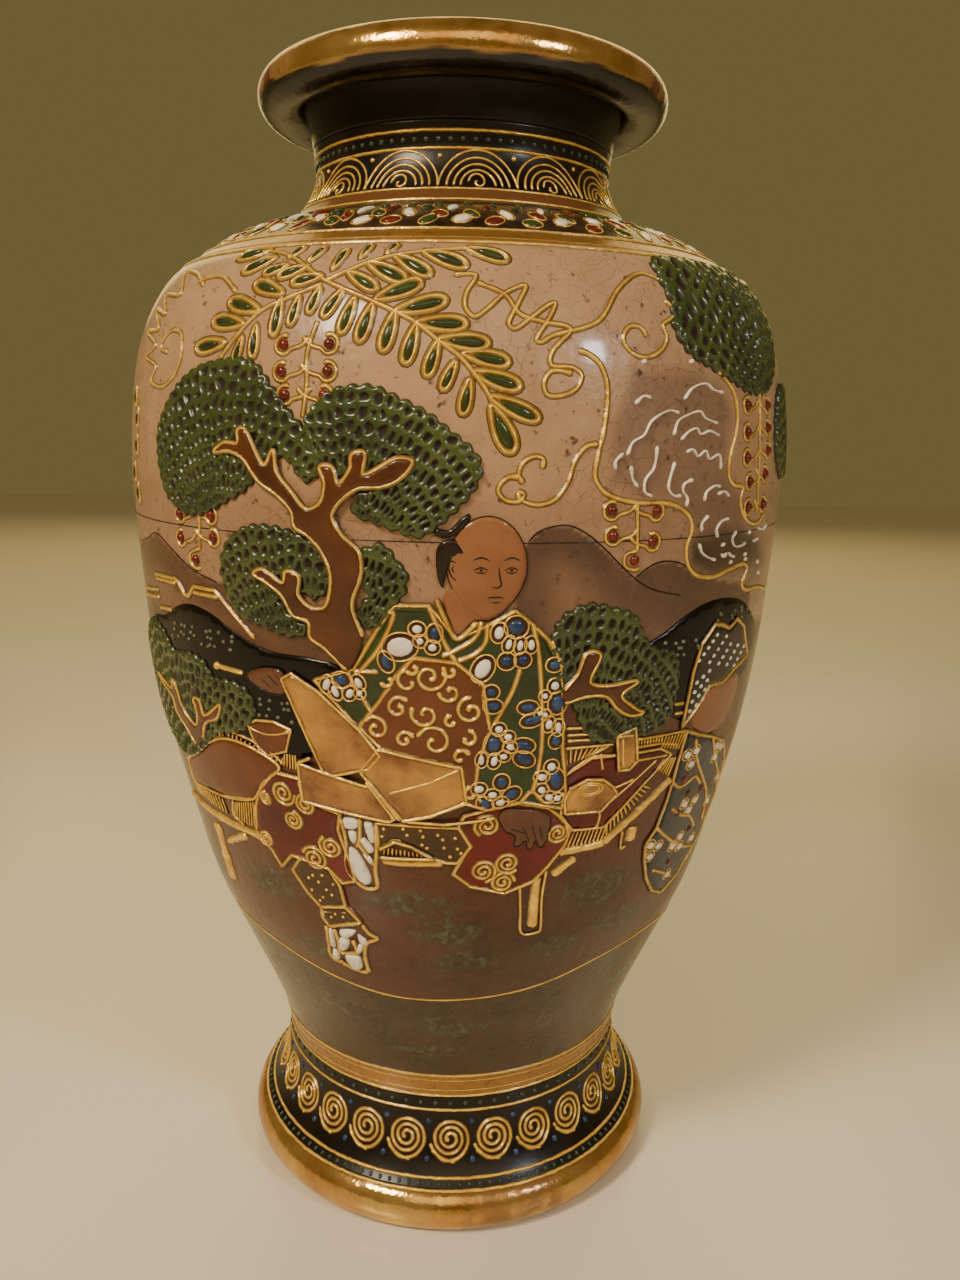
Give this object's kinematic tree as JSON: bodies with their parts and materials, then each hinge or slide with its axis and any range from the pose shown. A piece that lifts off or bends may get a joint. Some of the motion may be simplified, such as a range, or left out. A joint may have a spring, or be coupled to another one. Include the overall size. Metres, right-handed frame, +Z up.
{
  "type": "vase",
  "caption": "Tall baluster vase with a flared neck and a rolled lip, standing on a waisted pedestal foot, decorated all round with raised gilded slip and enamel; holds flowers.",
  "frame": {"origin": "centre of the flat standing face under the foot", "axes": "+Z up along the axis of the vase; the side with the seated figure faces -Y, with +X to its right"},
  "size_m": [0.176, 0.1784, 0.3],
  "materials": {
    "gilding": "polished worn gilding over glazed clay",
    "black_glaze": "glossy",
    "cream_glaze": "glossy, finely crackled, with painted hills and hazes",
    "bare_clay": "matt, unglazed",
    "gold_slip": "raised slip trails, gilded and burnished",
    "dark_enamel": "glossy domed enamel",
    "white_enamel": "glossy domed enamel",
    "red_enamel": "glossy domed enamel",
    "green_enamel": "glossy domed enamel",
    "blue_enamel": "glossy domed enamel",
    "pine_enamel": "thick ridged glossy enamel with dark pits",
    "brown_slip": "raised slip, glazed",
    "rock_slip": "raised slip, glazed, dotted with enamel",
    "robe_enamel": "raised enamel in gilded cells",
    "flesh_enamel": "satin enamel"
  },
  "bodies": {
    "root": {"foot_roll": "gilding", "foot_pedestal": "black_glaze", "floor_disc": "bare_clay", "lower_body": "cream_glaze", "upper_body": "cream_glaze", "neck": "black_glaze", "mouth_flare": "black_glaze", "mouth_roll": "gilding", "neck_lines": "gold_slip", "neck_dots": "dark_enamel", "neck_arches": "gold_slip", "neck_arch_dots": "gold_slip", "shoulder_lines": "gold_slip", "garland_white": "white_enamel", "garland_red": "red_enamel", "garland_green": "green_enamel", "foot_lines": "gold_slip", "foot_spirals": "gold_slip", "foot_blue_dots": "blue_enamel", "foot_upper_dots": "dark_enamel", "foot_lower_dots": "dark_enamel", "spray_stems": "gold_slip", "leaf_beads": "green_enamel", "berry_beads": "red_enamel", "pine_crowns": "pine_enamel", "pine_trunks": "brown_slip", "rocks": "rock_slip", "cloud_strokes": "white_enamel", "seated_figures": "robe_enamel", "figure_heads": "flesh_enamel", "benches": "gold_slip"}
  },
  "joints": []
}
